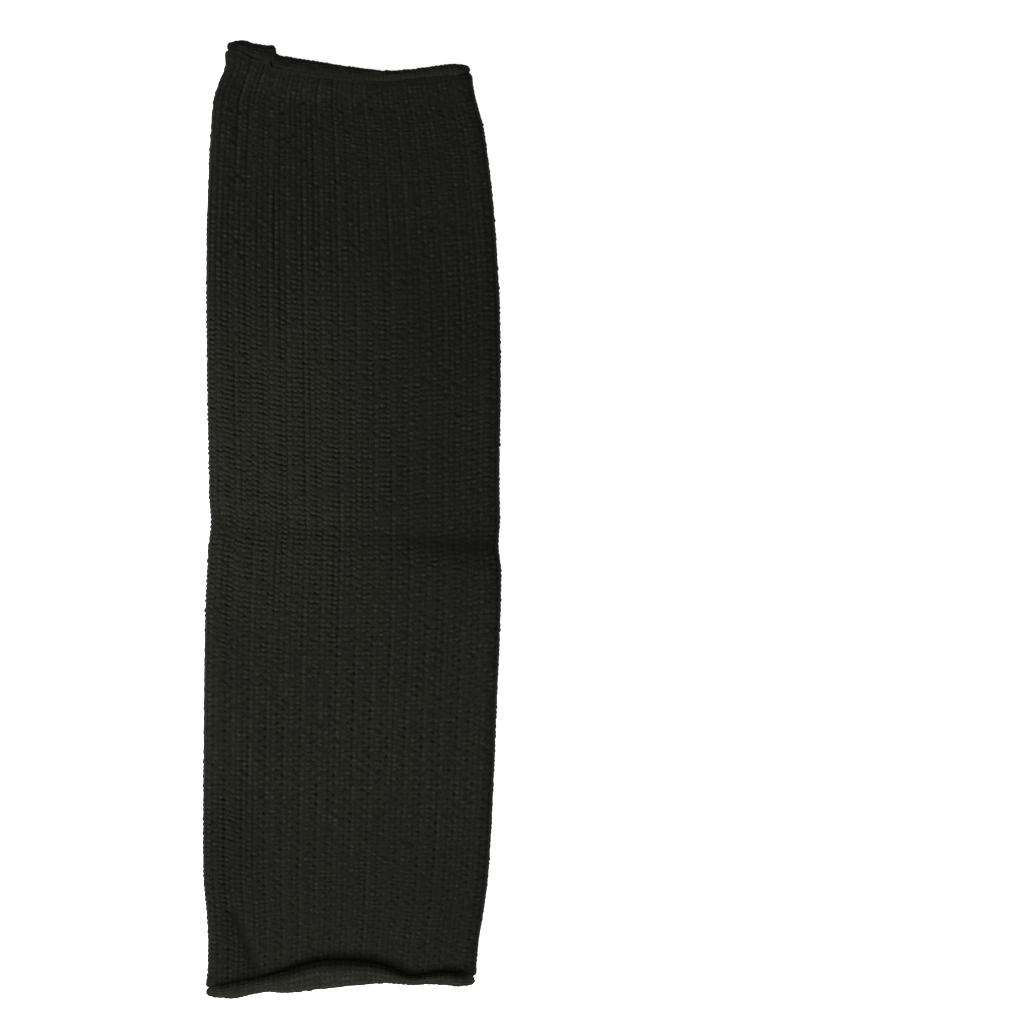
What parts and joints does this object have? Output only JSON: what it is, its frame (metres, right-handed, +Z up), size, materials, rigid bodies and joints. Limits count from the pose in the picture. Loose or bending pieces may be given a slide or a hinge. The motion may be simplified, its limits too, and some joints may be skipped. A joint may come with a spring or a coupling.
{
  "type": "cut resistant arm sleeve",
  "caption": "Seamless knitted arm sleeve lying flat: an open tube with a soft fold down each side and both ends curled outwards.",
  "frame": {"origin": "on the surface that the sleeve lies on, under the middle of its outline", "axes": "+Z up from the surface, +Y along the arm to the wrist end, +X across the sleeve"},
  "size_m": [0.111, 0.3556, 0.0146],
  "materials": {
    "charcoal_knit": "coarse matt charcoal knit"
  },
  "bodies": {
    "root": {"knitted_sleeve": "charcoal_knit"}
  },
  "joints": []
}
